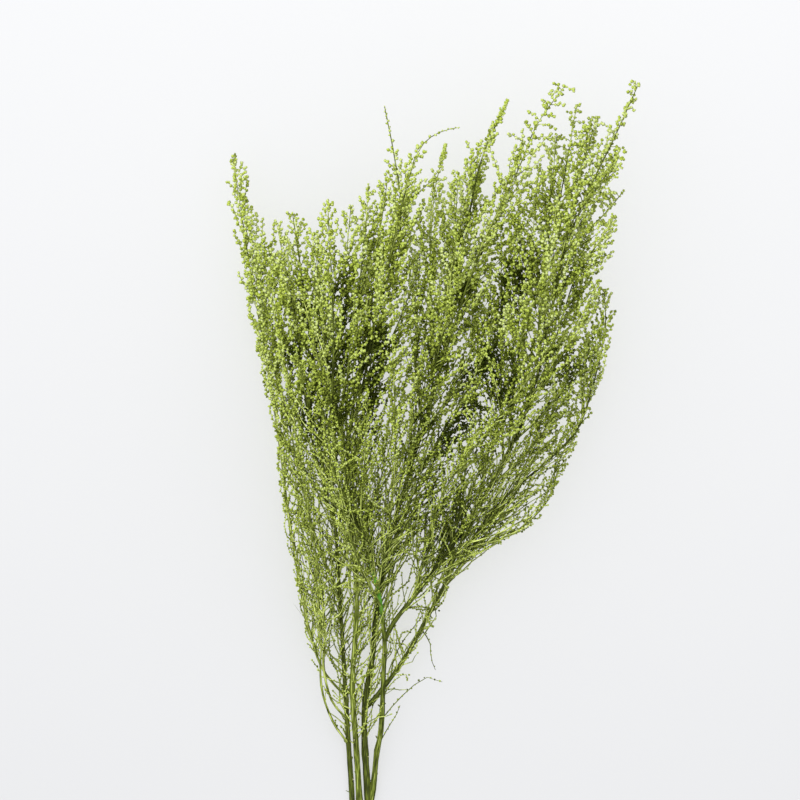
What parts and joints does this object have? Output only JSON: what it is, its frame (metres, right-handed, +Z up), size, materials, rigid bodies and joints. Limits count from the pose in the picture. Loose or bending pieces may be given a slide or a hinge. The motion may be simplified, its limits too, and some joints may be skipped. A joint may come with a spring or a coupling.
{
  "type": "bunch of dried hill flower stems",
  "caption": "Loose fan-shaped bunch of dried, dyed hill flower: woody branched stems with long sprays of small bead-like heads, laid flat.",
  "frame": {"origin": "on the surface that the bunch lies on, under the middle of its box", "axes": "+X across the fan, +Y from the cut ends to the tips, +Z up from the surface"},
  "size_m": [0.366, 0.686, 0.1372],
  "materials": {
    "stem": "matt dyed bark, yellow-green with darker streaks",
    "spray": "matt dyed flower heads, yellow-green with dark olive hollows"
  },
  "bodies": {
    "root": {"left_stem": "stem", "front_stem": "stem", "forked_stem": "stem", "left_spray_01": "spray", "left_spray_02": "spray", "left_spray_03": "spray", "left_spray_04": "spray", "left_spray_05": "spray", "left_spray_06": "spray", "left_spray_07": "spray", "left_spray_08": "spray", "left_spray_09": "spray", "inner_spray_01": "spray", "inner_spray_02": "spray", "inner_spray_03": "spray", "inner_spray_04": "spray", "inner_spray_05": "spray", "inner_spray_06": "spray", "inner_spray_07": "spray", "front_spray_01": "spray", "front_spray_02": "spray", "front_spray_03": "spray", "front_spray_04": "spray", "front_spray_05": "spray", "front_spray_06": "spray", "front_spray_07": "spray", "front_spray_08": "spray", "middle_spray_01": "spray", "middle_spray_02": "spray", "middle_spray_03": "spray", "middle_spray_04": "spray", "middle_spray_05": "spray", "middle_spray_06": "spray", "middle_spray_07": "spray", "middle_spray_08": "spray", "middle_spray_09": "spray", "middle_spray_10": "spray", "middle_spray_11": "spray", "right_spray_01": "spray", "right_spray_02": "spray", "right_spray_03": "spray", "right_spray_04": "spray", "right_spray_05": "spray", "right_spray_06": "spray", "right_spray_07": "spray", "right_spray_08": "spray", "right_spray_09": "spray", "right_spray_10": "spray", "right_spray_11": "spray", "right_spray_12": "spray", "right_spray_13": "spray", "right_spray_14": "spray", "right_spray_15": "spray", "right_spray_16": "spray", "low_spray_01": "spray", "low_spray_02": "spray", "low_spray_03": "spray", "low_spray_04": "spray"}
  },
  "joints": []
}
